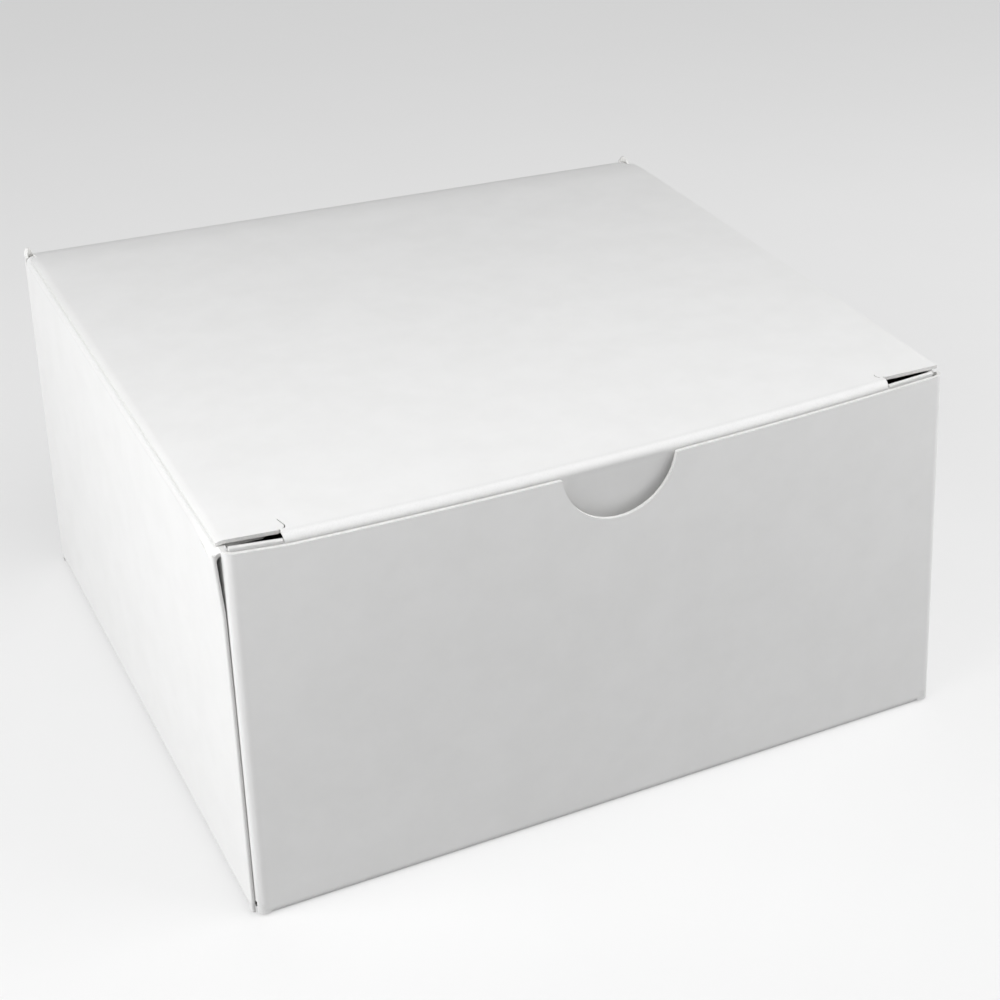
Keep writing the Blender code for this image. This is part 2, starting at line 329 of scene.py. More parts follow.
@dataclass(frozen=True)
class RawEdge:
    """Die-cut edge of the board: bright bleached pulp with a torn, fibrous grain."""

    name: str = "raw_board_edge"
    colour: Colour = (0.73, 0.728, 0.715)
    pale: Colour = (0.80, 0.80, 0.79)
    fibre_depth: float = 0.05 * MM

    def material(self) -> bpy.types.Material:
        """Build the finish from two sizes of fibre."""
        bench = NodeBench(self.name, 0.88, 0.2)
        fibres = bench.noise(3800.0, 4.0)
        clumps = bench.noise(700.0, 2.0)
        pulp = bench.combine("ADD", fibres, clumps)
        bench.paint(bench.blend_colours(bench.remap(pulp, (0.8, 1.2), (0.0, 1.0)),
                                        self.colour, self.pale))
        bench.roughen(bench.remap(clumps, (0.3, 0.7), (0.82, 0.95)))
        bench.emboss(pulp, self.fibre_depth)
        return bench.material


@dataclass(frozen=True)
class DriedGlue:
    """Dried carton glue: pale straw, satin, with small bubbles."""

    name: str = "dried_glue"
    colour: Colour = (0.74, 0.68, 0.50)
    pale: Colour = (0.82, 0.77, 0.62)
    relief: float = 0.02 * MM

    def material(self) -> bpy.types.Material:
        """Build the finish from soft lumps and bubbles."""
        bench = NodeBench(self.name, 0.38, 0.5)
        lumps = bench.noise(420.0, 3.0)
        bubbles = bench.specks(900.0, 0.25)
        bench.paint(bench.blend_colours(lumps, self.colour, self.pale))
        bench.roughen(bench.remap(lumps, (0.3, 0.7), (0.32, 0.46)))
        bench.emboss(bench.combine("ADD", lumps, bubbles), self.relief)
        return bench.material


@dataclass(frozen=True)
class StudioPaper:
    """Pale seamless paper that the carton stands on, kept even for the camera."""

    name: str = "studio_paper"
    colour: Colour = (0.33, 0.33, 0.33)
    pale: Colour = (0.36, 0.36, 0.36)
    backdrop: Colour = (0.54, 0.54, 0.54)

    def material(self) -> bpy.types.Material:
        """Build the finish from a faint mottle, with a pale backdrop for seeing rays."""
        bench = NodeBench(self.name, 0.9, 0.2)
        mottle = bench.remap(bench.noise(6.0, 4.0), (0.3, 0.7), (0.0, 1.0))
        bench.paint(bench.blend_colours(mottle, self.colour, self.pale))
        bench.emboss(bench.noise(500.0, 3.0), 0.02 * MM)
        path = bench.tree.nodes.new("ShaderNodeLightPath").outputs
        seen = bench.combine("MAXIMUM", path["Is Camera Ray"], path["Is Glossy Ray"])
        seen = bench.combine("MAXIMUM", seen, path["Is Transmission Ray"])
        glow = bench.tree.nodes.new("ShaderNodeEmission")
        glow.inputs["Color"].default_value = (*self.backdrop, 1.0)
        bench.tree.links.new(seen, glow.inputs["Strength"])
        both = bench.tree.nodes.new("ShaderNodeAddShader")
        bench.tree.links.new(bench.shader.outputs["BSDF"], both.inputs[0])
        bench.tree.links.new(glow.outputs["Emission"], both.inputs[1])
        output = bench.tree.nodes["Material Output"]
        bench.tree.links.new(both.outputs["Shader"], output.inputs["Surface"])
        return bench.material


@dataclass(frozen=True)
class BoardFinishes:
    """The three finishes of a sheet of board, in the order of its material slots."""

    coated: bpy.types.Material
    bare: bpy.types.Material
    raw: bpy.types.Material

    @classmethod
    def make(cls) -> "BoardFinishes":
        """Build the three materials."""
        return cls(CoatedFace().material(), BareFace().material(), RawEdge().material())

    def dress(self, piece: bpy.types.Object) -> None:
        """Fill a sheet's three blank material slots."""
        for slot, material in enumerate((self.coated, self.bare, self.raw)):
            piece.data.materials[slot] = material


# The bench: one sheet in edit mode.


def only(piece: bpy.types.Object) -> None:
    """Select one object and nothing else."""
    bpy.ops.object.select_all(action="DESELECT")
    piece.select_set(True)
    bpy.context.view_layer.objects.active = piece


@dataclass(frozen=True)
class FoldLine:
    """One rolled fold: the line its centre runs along, and its outer radius."""

    centre: Vector
    axis: Axis
    radius: float

    @property
    def wear_and_shade(self) -> float:
        """How far the fold is rubbed and darkened with painted shade: an upright corner less
        than a flap's fold.
        """
        return 0.2 if self.axis is Axis.Z else 1.0

    def distance(self, point: Vector) -> float:
        """Distance of a point from the centre line."""
        across = point - self.centre
        along = Vector(self.axis.value)
        return (across - along * across.dot(along)).length


class FoldWearAndShade:
    """Marks the board's folds in a mesh attribute, which the coated finish reads for rubbing
    and painted shade.
    """

    NAME = "fold_wear_and_shade"

    @classmethod
    def mark(cls, piece: bpy.types.Object, folds: list[FoldLine]) -> None:
        """Write each fold's share of rubbing and painted shade on its vertices and 0
        elsewhere.

        Args:
            piece: The finished sheet, before it is settled.
            folds: The sheet's rolled folds.
        """
        attribute = piece.data.attributes.new(cls.NAME, "FLOAT", "POINT")
        for vertex, worn_and_shaded in zip(piece.data.vertices, attribute.data):
            worn_and_shaded.value = max((f.wear_and_shade for f in folds
                              if f.distance(vertex.co) < f.radius + SNAP), default=0.0)


class Sheet:
    """A sheet of board on the bench, shaped as its open outer face and then thickened."""

    MERGED = 0.002 * MM
    SHARP = math.radians(55)
    SMOOTH = math.radians(20)

    def __init__(self, name: str, facing: Facing, low: Vector, high: Vector) -> None:
        """Lay a rectangular panel at its size and place.

        Args:
            name: The piece's name.
            facing: Which way its outer face looks.
            low: The lowest corner of the flat panel.
            high: The highest corner.
        """
        turn, sides = facing.value
        bpy.ops.object.select_all(action="DESELECT")
        bpy.ops.mesh.primitive_plane_add(
            size=1.0, location=(low + high) / 2, rotation=[math.radians(a) for a in turn])
        self.piece = bpy.context.object
        self.piece.name = name
        self.piece.data.name = name
        span = high - low
        self.piece.scale = (span[sides[0]], span[sides[1]], 1.0)
        bpy.ops.object.transform_apply(location=True, rotation=True, scale=True)
        self.folds: list[FoldLine] = []

    def select(self, element: Element, test: Test) -> int:
        """Select what passes a test, in edit mode.

        Args:
            element: What to select.
            test: For vertices and edges it is given every end, for faces the middle.

        Returns:
            How many elements were selected.
        """
        only(self.piece)
        bpy.ops.object.mode_set(mode="EDIT")
        bpy.context.tool_settings.mesh_select_mode = element.value
        bpy.ops.mesh.select_all(action="DESELECT")
        mesh = bmesh.from_edit_mesh(self.piece.data)
        if element is Element.FACE:
            chosen = [f for f in mesh.faces if test(f.calc_center_median())]
        elif element is Element.EDGE:
            chosen = [e for e in mesh.edges if all(test(v.co) for v in e.verts)]
        else:
            chosen = [v for v in mesh.verts if test(v.co)]
        for item in chosen:
            item.select_set(True)
        bmesh.update_edit_mesh(self.piece.data)
        if not chosen:
            LOG.warning("%s: nothing was selected for a step", self.piece.name)
        return len(chosen)

    def done(self) -> None:
        """Leave edit mode."""
        bpy.ops.object.mode_set(mode="OBJECT")

    def roll(self, edge: Test, centre: Vector, axis: Axis, turn: float, steps: int,
             radius: float) -> None:
        """Roll the board on from an open edge.

        Args:
            edge: Picks the open edge.
            centre: A point on the fold's centre line.
            axis: The direction of that line.
            turn: Degrees, right-handed about the axis.
            steps: Flats round the fold.
            radius: Its outer radius.
        """
        self.select(Element.EDGE, edge)
        # With no window a spin turns left-handed.
        bpy.ops.mesh.spin(steps=steps, angle=-math.radians(turn), center=centre,
                          axis=axis.value)
        self.done()
        self.folds.append(FoldLine(centre, axis, radius))

    def extend(self, edge: Test, move: Vector) -> None:
        """Carry the board straight on from an open edge.

        Args:
            edge: Picks the open edge.
            move: Where its new edge lies from the old one.
        """
        self.select(Element.EDGE, edge)
        bpy.ops.mesh.extrude_region_move(TRANSFORM_OT_translate={"value": move})
        self.done()

    def score(self, axis: Axis, stations: list[float], within: Test | None = None) -> None:
        """Cut straight lines into the sheet, across an axis, and remove nothing.

        Args:
            axis: The axis that the cutting planes stand square to.
            stations: Their places along it.
            within: Picks the faces to cut, or None for all of them.
        """
        for station in stations:
            self.trim(within, Vector(axis.value) * station, Vector(axis.value), keep=True)

    def trim(self, within: Test | None, point: Vector, normal: Vector,
             keep: bool = False) -> None:
        """Cut faces along a plane and drop what lies beyond it.

        Args:
            within: Picks the faces to cut, or None for all of them.
            point: A point on the plane.
            normal: The side that is dropped.
            keep: Keeps that side, so that only a line is cut.
        """
        self.select(Element.FACE, within or (lambda middle: True))
        bpy.ops.mesh.bisect(plane_co=point, plane_no=normal, clear_outer=not keep,
                            threshold=0.001 * MM)
        self.done()

    def drop(self, faces: Test) -> None:
        """Delete the faces whose middles pass a test."""
        if self.select(Element.FACE, faces):
            bpy.ops.mesh.delete(type="FACE")
        self.done()

    def round_corners(self, corner: Test, radius: float, segments: int) -> None:
        """Round the outline's corners.

        Args:
            corner: Picks the corners' vertices.
            radius: Their radius.
            segments: Flats round each.
        """
        self.select(Element.VERTEX, corner)
        bpy.ops.mesh.bevel(offset=radius, segments=segments, affect="VERTICES",
                           clamp_overlap=True)
        self.done()

    def shift(self, element: Element, chosen: Test, move: Vector) -> None:
        """Move part of the sheet.

        Args:
            element: What moves, vertices or whole faces.
            chosen: Picks which of them.
            move: How far they move.
        """
        self.select(element, chosen)
        bpy.ops.transform.translate(value=move)
        self.done()

    def split(self, edges: Test) -> None:
        """Slit the board along edges, so that its two sides part."""
        self.select(Element.EDGE, edges)
        bpy.ops.mesh.edge_split(type="EDGE")
        self.done()

    def face_towards(self, place: Vector, direction: Vector) -> None:
        """Make the outer face look the right way.

        Args:
            place: A point by a face whose direction is known.
            direction: Where that face looks.
        """
        self.select(Element.FACE, lambda middle: True)
        bpy.ops.mesh.remove_doubles(threshold=self.MERGED)
        bpy.ops.mesh.normals_make_consistent(inside=False)
        mesh = bmesh.from_edit_mesh(self.piece.data)
        nearest = min(mesh.faces, key=lambda f: (f.calc_center_median() - place).length)
        if nearest.normal.dot(direction) < 0:
            bpy.ops.mesh.flip_normals()
        self.done()

    def thicken(self, thickness: float) -> None:
        """Give the board its thickness behind the outer face, and name its surfaces."""
        only(self.piece)
        # The modifier keeps its material offsets only where the slots exist already.
        while len(self.piece.data.materials) < 3:
            self.piece.data.materials.append(None)
        wall = self.piece.modifiers.new("board", "SOLIDIFY")
        wall.thickness = thickness
        wall.offset = -1.0
        wall.use_even_offset = True
        wall.material_offset = 1
        wall.material_offset_rim = 2
        bpy.ops.object.modifier_apply(modifier="board")

    def punch(self, cutter: bpy.types.Object, cut_faces: Test) -> None:
        """Cut a closed shape out of the thickened board.

        Args:
            cutter: The shape, which is deleted afterwards.
            cut_faces: Picks the new cut's faces, which become raw edge.
        """
        only(self.piece)
        hole = self.piece.modifiers.new("punch", "BOOLEAN")
        hole.operation = "DIFFERENCE"
        hole.solver = "EXACT"
        hole.object = cutter
        bpy.ops.object.modifier_apply(modifier="punch")
        bpy.data.objects.remove(cutter)
        for polygon in self.piece.data.polygons:
            if cut_faces(polygon.center):
                polygon.material_index = 2

    def ease_edges(self, width: float, joints: Test) -> None:
        """Take the sharpness off the cut edges, and leave the joints between pieces.

        Args:
            width: Width of the eased edge.
            joints: Picks points on a joint that has to stay closed.
        """
        only(self.piece)
        bpy.ops.object.mode_set(mode="EDIT")
        bpy.context.tool_settings.mesh_select_mode = Element.EDGE.value
        bpy.ops.mesh.select_all(action="DESELECT")
        bpy.ops.mesh.edges_select_sharp(sharpness=self.SHARP)
        mesh = bmesh.from_edit_mesh(self.piece.data)
        for edge in mesh.edges:
            if edge.select and all(joints(v.co) for v in edge.verts):
                edge.select_set(False)
        bmesh.update_edit_mesh(self.piece.data)
        bpy.ops.mesh.bevel(offset=width, segments=2, affect="EDGES", clamp_overlap=True)
        self.done()
        bpy.ops.object.shade_smooth_by_angle(angle=self.SMOOTH)

    def copy(self, name: str, turn_half: bool = False) -> "Sheet":
        """Copy the sheet to the other side, with its own mesh.

        Args:
            name: The copy's name.
            turn_half: Turns it half round about Z, and otherwise mirrors left to right.

        Returns:
            The copy, in place and facing outwards.
        """
        only(self.piece)
        bpy.ops.object.duplicate()
        other = Sheet.__new__(Sheet)
        other.piece = bpy.context.object
        other.piece.name = name
        other.piece.data.name = name
        other.folds = []
        for fold in self.folds:
            centre = fold.centre.copy()
            centre.x = -centre.x
            if turn_half:
                centre.y = -centre.y
            other.folds.append(FoldLine(centre, fold.axis, fold.radius))
        if turn_half:
            bpy.ops.transform.rotate(value=math.pi, orient_axis="Z",
                                     center_override=(0, 0, 0))
        else:
            bpy.ops.transform.resize(value=(-1, 1, 1), center_override=(0, 0, 0))
        bpy.ops.object.transform_apply(location=True, rotation=True, scale=True)
        if not turn_half:
            bpy.ops.object.mode_set(mode="EDIT")
            bpy.ops.mesh.select_all(action="SELECT")
            bpy.ops.mesh.normals_make_consistent(inside=False)
            other.done()
        return other


# Sizes.

SEAM_EDGE = 48.9 * MM
SIDE_SHOULDER = 48.5 * MM
HINGE_HALF = 50.65 * MM
LID_JOINT = 47.6 * MM
SLIT_ENDS = (-43.8 * MM, 42.95 * MM)
FLARE_FADE = 2 * MM


@dataclass(frozen=True)
class Board:
    """The paperboard and the way it folds."""

    thickness: float = 0.5 * MM
    eased: float = 0.07 * MM
    wall_roll: float = 1.3 * MM
    flap_roll: float = 1.3 * MM
    base_roll: float = 1.0 * MM
    side_base_roll: float = 0.8 * MM
    layer: float = 0.55 * MM
    mesh_pitch: float = 6.5 * MM
    roll_steps: int = 8
    margin: float = 0.8 * MM


@dataclass(frozen=True)
class Plan:
    """The carton's places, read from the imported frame."""

    side: float
    front: float
    back: float
    top: float
    front_top: float
    lid_side: float
    tuck_end: float
    dust_front: float
    dust_top: float
    dust_inner: float

    @classmethod
    def from_frame(cls) -> "Plan":
        """Read the places from the CAD nodes' boxes."""
        lid_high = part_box("lid_panel")[1]
        dust_low, dust_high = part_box("dust_flap_right")
        return cls(
            side=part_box("right_panel")[1].x,
            front=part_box("front_panel")[0].y,
            back=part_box("back_panel")[1].y,
            top=lid_high.z,
            front_top=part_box("front_panel")[1].z,
            lid_side=lid_high.x,
            tuck_end=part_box("tuck_flap")[0].z,
            dust_front=dust_low.y,
            dust_top=dust_high.z,
            dust_inner=dust_low.x,
        )


@dataclass(frozen=True)
class Sag:
    """How far one corner of the carton stands from square, in millimetres."""

    corner: tuple[int, int, int]
    x: float
    y: float
    z: float


@dataclass
class Settling:
    """Sets the sheets slightly out of square with one lattice, as a folded carton stands.

    The lattice reaches one cell past the carton on every side, where its spline passes
    through straight lines and parabolas unchanged.
    """

    plan: Plan
    bulge: float = 2.0 * MM
    crown: float = 0.60 * MM
    counts: tuple[int, int, int] = (7, 5, 5)
    sags: tuple[Sag, ...] = (
        Sag((-1, -1, 0), -0.47, -1.60, 0.0), Sag((1, -1, 0), 1.01, 0.84, 0.0),
        Sag((-1, 1, 0), -0.78, -0.38, 0.0), Sag((1, 1, 0), 0.0, 0.0, 0.0),
        Sag((-1, -1, 1), 0.09, -0.18, -0.42), Sag((1, -1, 1), -1.86, 1.57, 0.36),
        Sag((-1, 1, 1), 0.33, 0.42, 1.24), Sag((1, 1, 1), 1.76, -0.90, -0.46),
    )

    def offset(self, point: Vector) -> Vector:
        """How far the carton has moved at a point.

        Args:
            point: A place in or round the carton.

        Returns:
            The move there: each corner's sag, the front's bulge and the lid's crown.
        """
        across = point.x / self.plan.side
        along = point.y / self.plan.back
        up = point.z / self.plan.top
        total = Vector((0.0, 0.0, 0.0))
        for sag in self.sags:
            share = (1 + sag.corner[0] * across) / 2 * (1 + sag.corner[1] * along) / 2
            share *= up if sag.corner[2] else 1 - up
            total += Vector((sag.x, sag.y, sag.z)) * MM * share
        # The spline lowers a parabola by a twelfth of its height, which is given back.
        arch = 1 - across * across + 1 / 12
        towards_front = max(0.0, -along)
        total.y -= self.bulge * arch * towards_front * up
        if abs(along) < 1.5 and 0.75 < up < 1.25:
            total.z += self.crown * arch * (1.5 if abs(along) < 0.5 else -0.375)
        return total

    def build(self) -> bpy.types.Object:
        """Make the lattice.

        Returns:
            The lattice object.
        """
        bpy.ops.object.select_all(action="DESELECT")
        bpy.ops.object.add(type="LATTICE", location=(0, 0, self.plan.top / 2))
        cage = bpy.context.object
        cage.name = "settling"
        cage.scale = (self.plan.side * 3, self.plan.back * 4, self.plan.top * 2)
        lattice = cage.data
        lattice.points_u, lattice.points_v, lattice.points_w = self.counts
        for way in "uvw":
            setattr(lattice, f"interpolation_type_{way}", "KEY_BSPLINE")
        bpy.context.view_layer.update()
        for point in lattice.points:
            move = self.offset(cage.matrix_world @ point.co)
            point.co_deform = point.co + Vector(
                (move.x / cage.scale.x, move.y / cage.scale.y, move.z / cage.scale.z))
        return cage

    def settle(self, piece: bpy.types.Object, cage: bpy.types.Object) -> None:
        """Press one piece into the settled shape.

        Args:
            piece: The finished piece.
            cage: The lattice.
        """
        only(piece)
        press = piece.modifiers.new("settle", "LATTICE")
        press.object = cage
        bpy.ops.object.modifier_apply(modifier="settle")


# Sub-assemblies.


@dataclass(frozen=True)
class Pull:
    """A soft local pull on the board: how far, and how far down and back it fades."""

    amount: float
    down: float
    back: float

    def at(self, below: float, behind: float) -> float:
        """The pull's share at a place.

        Args:
            below: How far the place lies below the pulled corner.
            behind: How far it lies along the board from it.

        Returns:
            The length of the move there.
        """
        share = 1.0
        for distance, reach in ((below, self.down), (behind, self.back)):
            rest = min(1.0, max(0.0, 1.0 - distance / reach))
            share *= rest * rest * (3 - 2 * rest)
        return self.amount * share


@dataclass(frozen=True)
class SeamFlare:
    """The loose front corner of the left wall, which stands away from the front."""

    edge: float = SEAM_EDGE
    top: float = 53.0 * MM
    pulls: tuple[Pull, ...] = (Pull(0.10 * MM, 26 * MM, 14 * MM),
                               Pull(0.50 * MM, 8 * MM, 7 * MM))

    def apply(self, piece: bpy.types.Object, outer: float, inner: float) -> None:
        """Pull a piece's vertices outwards.

        Args:
            piece: The wall band or the left dust flap.
            outer: Distance from the middle beyond which a vertex moves the whole way.
            inner: Distance from the middle where none moves any more.
        """
        for vertex in piece.data.vertices:
            place = vertex.co
            share = min(1.0, max(0.0, (-place.x - inner) / (outer - inner)))
            move = sum(pull.at(self.top - place.z, place.y + self.edge)
                       for pull in self.pulls)
            vertex.co.x -= share * move


@dataclass
class WallBand:
    """Front, right, back and left walls with the glue flap, one sheet round the carton."""

    plan: Plan
    board: Board
    glue_face: float = 51.42 * MM
    glue_width: float = 12.0 * MM
    glue_taper: float = 3.0 * MM
    glue_low: float = 2.1 * MM
    foot: float = 0.4 * MM
    ear_top: float = 54.0 * MM
    ear_root: float = 53.0 * MM
    ear_back: float = 48.3 * MM
    hinge_half: float = HINGE_HALF
    lip_half: float = 49.8 * MM
    notch_radius: float = 8.3 * MM
    notch_centre: float = 0.5 * MM
    notch_lip: float = 0.9 * MM
    seam_edge: float = SEAM_EDGE
    seam_round: float = 0.30 * MM
    shoulder: float = SIDE_SHOULDER
    glue_slope: float = 14.0
    glue_rule_lift: float = 0.15 * MM
    ear_leans: tuple[float, float, float] = (35.0, 14.0, 48.0)
    ear_step: float = 1.2 * MM
    on_face: float = 0.1 * MM
    front_lift: Pull = Pull(0.45 * MM, 12 * MM, 8 * MM)

    @property
    def side_top(self) -> float:
        """Level where a side wall meets its dust flap's fold."""
        return self.plan.dust_top - self.board.flap_roll

    @property
    def back_top(self) -> float:
        """Level where the back wall meets the lid's fold."""
        return LidBoard.hinge_level(self.plan, self.board)

    def lay_band(self) -> Sheet:
        """Run the board from the raw seam edge round the carton to the glue flap."""
        plan, roll, steps = self.plan, self.board.wall_roll, self.board.roll_steps
        side, back, front = plan.side, plan.back, plan.front
        sheet = Sheet("wall_band", Facing.LEFT, Vector((-side, -self.seam_edge, self.foot)),
                      Vector((-side, back - roll, self.ear_top)))
        sheet.roll(lambda p: near(p.y, back - roll), Vector((roll - side, back - roll, 0)),
                   Axis.Z, -90, steps, roll)
        sheet.extend(lambda p: near(p.y, back), Vector((2 * (side - roll), 0, 0)))
        sheet.roll(lambda p: near(p.x, side - roll), Vector((side - roll, back - roll, 0)),
                   Axis.Z, -90, steps, roll)
        sheet.extend(lambda p: near(p.x, side), Vector((0, 2 * roll - back + front, 0)))
        sheet.roll(lambda p: near(p.x, side) and near(p.y, front + roll),
                   Vector((side - roll, front + roll, 0)), Axis.Z, -90, steps, roll)
        corner = roll - self.glue_face
        sheet.extend(lambda p: near(p.y, front), Vector((corner - side + roll, 0, 0)))
        sheet.roll(lambda p: near(p.y, front) and near(p.x, corner),
                   Vector((corner, front + roll, 0)), Axis.Z, -90, steps, roll)
        sheet.extend(lambda p: near(p.x, -self.glue_face) and near(p.y, front + roll),
                     Vector((0, self.glue_width, 0)))
        return sheet

    def cut_outline(self, sheet: Sheet) -> None:
        """Cut the band's steps, shoulders and ears with the die's straight rules."""
        plan, board = self.plan, self.board
        base, side_base = board.base_roll, board.layer + board.side_base_roll
        margin, end = board.margin, self.lip_half
        inner = plan.back - board.wall_roll - margin
        sheet.score(Axis.Z, [base, side_base, base + margin, side_base + margin,
                             self.side_top, self.back_top, plan.front_top,
                             self.side_top - margin])
        sheet.score(Axis.Z, steps_between(base + margin, self.side_top - margin,
                                          board.mesh_pitch))
        sheet.score(Axis.X, [-end, end, margin - end, end - margin,
                             -self.hinge_half, self.hinge_half])
        sheet.score(Axis.X, steps_between(-end, end, board.mesh_pitch))
        sheet.score(Axis.Y, [-inner, inner, -self.shoulder, plan.dust_front,
                             self.ear_back])
        sheet.score(Axis.Y, steps_between(plan.dust_front, self.ear_back,
                                          board.mesh_pitch))
        front, back, side = plan.front, plan.back, plan.side

        def over(p: Vector) -> bool:
            """Whether board at this place is cut away above the walls."""
            if p.y > back - self.on_face and abs(p.x) < self.hinge_half:
                return p.z > self.back_top
            if p.y > self.ear_back:
                return False
            if abs(p.x) > side - self.on_face and p.y > -self.shoulder:
                return p.z > self.side_top
            return p.z > plan.front_top

        def under(p: Vector) -> bool:
            """Whether board at this place is cut away below the walls."""
            if abs(p.x) > side - self.on_face:
                return abs(p.y) < inner and p.z < side_base
            if p.y < front + self.on_face or p.y > back - self.on_face:
                return abs(p.x) < end and p.z < base
            return False

        def on_glue_flap(p: Vector) -> bool:
            """Whether a place is on the glue flap."""
            return near(p.x, -self.glue_face)

        sheet.drop(lambda p: over(p) or under(p))
        far = front + board.wall_roll + self.glue_width
        lean = math.radians(self.glue_slope)
        slope = Vector((0, math.sin(lean), 0))
        for level, way in ((self.glue_low + self.glue_taper, -1),
                           (plan.front_top - self.glue_taper + self.glue_rule_lift, 1)):
            rule = slope + Vector((0, 0, way * math.cos(lean)))
            sheet.trim(on_glue_flap, Vector((-self.glue_face, far, level)), rule)
        for way in (-1, 1):
            self.round_ear(sheet, way)

    def round_ear(self, sheet: Sheet, way: int) -> None:
        """Round off the ear that stands beside the lid's hinge.

        Args:
            sheet: The band.
            way: -1 for the left ear and 1 for the right one.
        """
        plan = self.plan

        def on_ear(p: Vector) -> bool:
            """Whether a place is on this ear."""
            return (p.z > self.side_top and p.y > self.ear_back
                    and p.x * way > self.hinge_half)

        low, high, across = (math.radians(a) for a in self.ear_leans)
        for point, lean in (
                (Vector((0, self.ear_back, self.ear_root)), low),
                (Vector((0, self.ear_back + self.ear_step, self.ear_top)), high)):
            sheet.trim(on_ear, point, Vector((0, -math.sin(lean), math.cos(lean))))
        sheet.trim(on_ear, Vector((way * self.hinge_half, 0, self.ear_root + 0.3 * MM)),
                   Vector((-way * math.sin(across), 0, math.cos(across))))

    def roll_base(self, sheet: Sheet) -> None:
        """Roll the lower edges in under the carton, as far as the bottom flaps."""
        plan, board = self.plan, self.board
        base, side_base = board.base_roll, board.layer + board.side_base_roll
        steps = board.roll_steps
        inner = plan.back - board.wall_roll - board.margin

        def along_x(face: float) -> Test:
            """Pick the lower edge of the front or back wall."""
            return lambda p: (near(p.y, face) and near(p.z, base)
                              and abs(p.x) < self.lip_half + SNAP)

        def along_y(face: float) -> Test:
            """Pick the lower edge of a side wall."""
            return lambda p: (near(p.x, face) and near(p.z, side_base)
                              and abs(p.y) < inner + SNAP)

        roll = board.side_base_roll
        sheet.roll(along_x(plan.front), Vector((0, plan.front + base, base)), Axis.X, 90,
                   steps, base)
        sheet.roll(along_x(plan.back), Vector((0, plan.back - base, base)), Axis.X, -90,
                   steps, base)
        sheet.roll(along_y(-plan.side), Vector((roll - plan.side, 0, side_base)), Axis.Y,
                   -90, steps, roll)
        sheet.roll(along_y(plan.side), Vector((plan.side - roll, 0, side_base)), Axis.Y,
                   90, steps, roll)

    def relax(self, sheet: Sheet) -> None:
        """Let the left wall's loose corner stand away, and lift the front's own corner."""
        outer, inner = self.glue_face + 0.07 * MM, self.glue_face + 0.02 * MM
        SeamFlare().apply(sheet.piece, outer, inner)
        for vertex in sheet.piece.data.vertices:
            place = vertex.co
            if place.x > -inner and place.y < 0:
                below = self.plan.front_top - place.z
                place.z += self.front_lift.at(below, place.x + self.glue_face)

    def cut_notch(self, sheet: Sheet) -> None:
        """Punch the half-round thumb notch and round its two shoulders."""
        plan = self.plan
        bpy.ops.object.select_all(action="DESELECT")
        bpy.ops.mesh.primitive_cylinder_add(
            vertices=96, radius=self.notch_radius, depth=4 * MM,
            location=(self.notch_centre, plan.front, plan.top),
            rotation=(math.pi / 2, 0, 0))
        middle = Vector((self.notch_centre, 0, plan.top))

        def on_cut(p: Vector) -> bool:
            """Whether a face's middle is on the notch's cut edge."""
            flat = Vector((p.x, 0, p.z))
            inside = plan.front + SNAP < p.y < plan.front + self.board.thickness - SNAP
            return inside and abs((flat - middle).length - self.notch_radius) < 0.1 * MM

        sheet.punch(bpy.context.object, on_cut)
        reach = math.sqrt(self.notch_radius ** 2 - (plan.top - plan.front_top) ** 2)
        sheet.select(Element.EDGE, lambda p: near(abs(p.x - self.notch_centre), reach)
                     and near(p.z, plan.front_top) and p.y < plan.front + 1 * MM)
        bpy.ops.mesh.bevel(offset=self.notch_lip, segments=6, affect="EDGES")
        sheet.done()

    def on_joint(self, p: Vector) -> bool:
        """Whether a point is on a joint with a flap's own sheet."""
        plan, board = self.plan, self.board
        if near(p.z, self.side_top) and abs(p.x) > plan.side - 1 * MM:
            return -self.shoulder - SNAP < p.y < self.ear_back + SNAP
        if near(p.z, self.back_top) and p.y > plan.back - 1 * MM:
            return abs(p.x) < self.hinge_half + SNAP
        at_front = near(abs(p.y), plan.back - board.base_roll)
        at_side = near(abs(p.x), plan.side - board.side_base_roll)
        return (at_front or at_side) and p.z < board.layer + board.thickness + SNAP

    def build(self) -> Sheet:
        """Model the band.

        Returns:
            The finished sheet, on the carton's own body.
        """
        plan, board = self.plan, self.board
        sheet = self.lay_band()
        self.cut_outline(sheet)
        self.roll_base(sheet)
        sheet.face_towards(Vector((0, plan.front, 25 * MM)), Vector((0, -1, 0)))
        sheet.thicken(board.thickness)
        self.cut_notch(sheet)
        sheet.select(Element.EDGE, lambda p: near(p.x, -plan.side)
                     and near(p.y, -self.seam_edge))
        bpy.ops.mesh.bevel(offset=self.seam_round, segments=4, affect="EDGES", material=0)
        sheet.done()
        sheet.ease_edges(board.eased, self.on_joint)
        self.relax(sheet)
        return sheet


